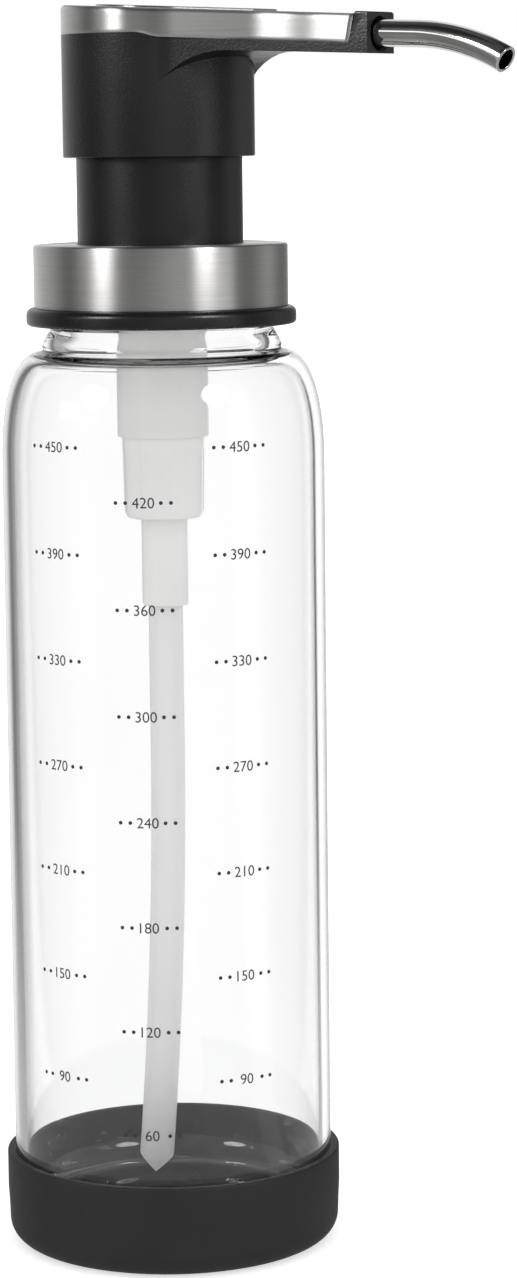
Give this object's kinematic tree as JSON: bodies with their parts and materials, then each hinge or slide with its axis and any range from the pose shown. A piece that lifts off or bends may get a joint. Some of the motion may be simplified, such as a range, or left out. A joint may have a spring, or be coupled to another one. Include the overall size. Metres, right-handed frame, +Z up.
{
  "type": "syrup dispenser",
  "caption": "Clear glass syrup bottle in a soft boot, with a screwed-on press pump, a swivelling head and a bent steel spout.",
  "frame": {"origin": "middle of the boot's flat underside, on the bottle's axis", "axes": "+Z up along the bottle's axis; the spout points along +X at rest"},
  "size_m": [0.1175, 0.0684, 0.2513],
  "materials": {
    "boot_rubber": "matte soft-touch silicone",
    "glass": "clear, polished",
    "closure_black": "satin moulded",
    "stem_black": "satin moulded",
    "head_black": "fine matte texture",
    "collar_steel": "brushed round",
    "cover_steel": "brushed along",
    "spout_steel": "polished",
    "pump_white": "translucent white moulding",
    "tube_clear": "milky translucent",
    "seal_rubber": "soft",
    "gasket_foam": "soft white",
    "spring_steel": "drawn wire",
    "ball_steel": "polished"
  },
  "bodies": {
    "bottle": {"bottle": "glass", "base_boot": "boot_rubber"},
    "seal": {"neck_gasket": "gasket_foam"},
    "pump": {"stem_guide": "stem_black", "chamber_sleeve": "pump_white", "pump_cylinder": "pump_white", "guide_bush": "pump_white", "rod_wiper": "seal_rubber", "dip_tube": "tube_clear", "ball_cage": "pump_white", "return_spring": "spring_steel"},
    "closure": {"closure_ring": "closure_black", "collar_shell": "collar_steel"},
    "plunger": {"piston_rod": "pump_white", "piston": "pump_white", "piston_clip": "pump_white"},
    "head": {"head_body": "head_black", "head_cover": "cover_steel", "duct_elbow": "pump_white", "spout_oring": "seal_rubber", "spout_tube": "spout_steel"},
    "inlet_valve": {"inlet_ball": "ball_steel"},
    "outlet_valve": {"outlet_ball": "ball_steel"}
  },
  "joints": [
    {"name": "pump_lift", "type": "slide", "parent": "bottle", "child": "seal", "axis": [0, 0, 1], "range_m": [0, 0.19]},
    {"name": "closure_rise", "type": "slide", "parent": "seal", "child": "pump", "axis": [0, 0, 1], "range_m": [0, 0.005]},
    {"name": "closure_turn", "type": "hinge", "parent": "pump", "child": "closure", "pos_m": [0, 0, 0.2], "axis": [0, 0, 1], "range_deg": [0, 450]},
    {"name": "head_press", "type": "slide", "parent": "pump", "child": "plunger", "axis": [0, 0, -1], "range_m": [0, 0.016], "stiffness_N_per_m": 300, "springref_m": -0.02, "deforming": ["return_spring"]},
    {"name": "head_swivel", "type": "hinge", "parent": "plunger", "child": "head", "pos_m": [0, 0, 0.24], "axis": [0, 0, 1], "continuous": true},
    {"name": "inlet_valve_lift", "type": "slide", "parent": "pump", "child": "inlet_valve", "axis": [0, 0, 1], "range_m": [0, 0.002]},
    {"name": "outlet_valve_lift", "type": "slide", "parent": "plunger", "child": "outlet_valve", "axis": [0, 0, 1], "range_m": [0, 0.0014]}
  ],
  "couplings": [
    {"joint": "closure_rise", "follows": "closure_turn", "m_per_rad": 0.0006366}
  ]
}
